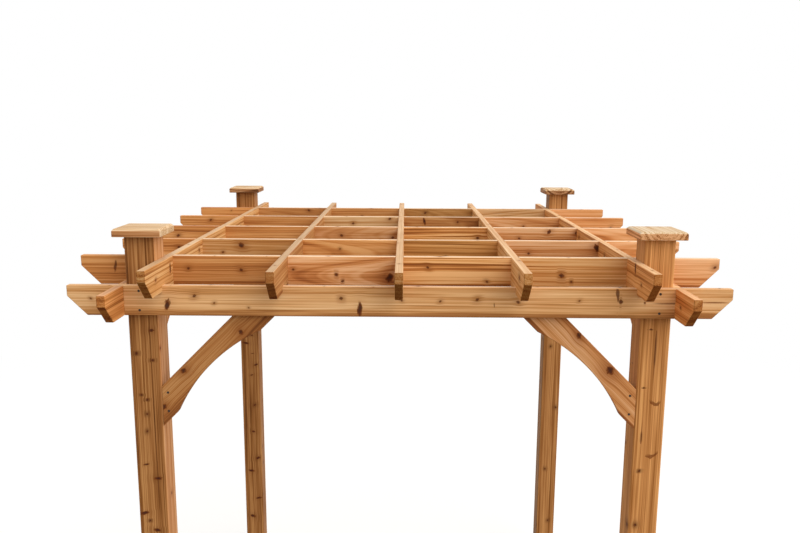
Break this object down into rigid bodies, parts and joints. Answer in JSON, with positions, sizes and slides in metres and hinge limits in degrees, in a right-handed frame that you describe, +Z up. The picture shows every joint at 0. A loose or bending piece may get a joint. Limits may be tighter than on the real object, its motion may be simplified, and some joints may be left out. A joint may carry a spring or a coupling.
{
  "type": "wooden pergola",
  "caption": "Free-standing square cedar pergola: capped posts, perimeter beams with sloped ends, arched knee braces and a flush open grid of rafters and blocks.",
  "frame": {"origin": "on the floor, at the middle of the square plan", "axes": "+X to the right along the front, +Y from front to back, +Z up"},
  "size_m": [3.048, 3.048, 3.086],
  "materials": {
    "post_timber": "planed, clear oiled, semi-matt",
    "cap_timber": "planed, clear oiled, semi-matt",
    "beam_timber": "planed, clear oiled, semi-matt",
    "rafter_timber": "planed, clear oiled, semi-matt",
    "block_timber": "planed, clear oiled, semi-matt",
    "brace_timber": "planed, clear oiled, semi-matt"
  },
  "bodies": {
    "root": {"post_front_left": "post_timber", "post_front_right": "post_timber", "post_back_left": "post_timber", "post_back_right": "post_timber", "cap_front_left": "cap_timber", "cap_front_right": "cap_timber", "cap_back_left": "cap_timber", "cap_back_right": "cap_timber", "beam_front": "beam_timber", "beam_back": "beam_timber", "beam_left": "beam_timber", "beam_right": "beam_timber", "rafter_1": "rafter_timber", "rafter_2": "rafter_timber", "rafter_3": "rafter_timber", "rafter_4": "rafter_timber", "rafter_5": "rafter_timber", "block_row_1": "block_timber", "block_row_2": "block_timber", "block_row_3": "block_timber", "block_row_4": "block_timber", "block_row_5": "block_timber", "tail_left_1": "block_timber", "tail_left_2": "block_timber", "tail_left_3": "block_timber", "tail_left_4": "block_timber", "tail_left_5": "block_timber", "tail_right_1": "block_timber", "tail_right_2": "block_timber", "tail_right_3": "block_timber", "tail_right_4": "block_timber", "tail_right_5": "block_timber", "brace_front_left": "brace_timber", "brace_front_right": "brace_timber", "brace_back_left": "brace_timber", "brace_back_right": "brace_timber", "brace_left_front": "brace_timber", "brace_left_back": "brace_timber", "brace_right_front": "brace_timber", "brace_right_back": "brace_timber"}
  },
  "joints": []
}
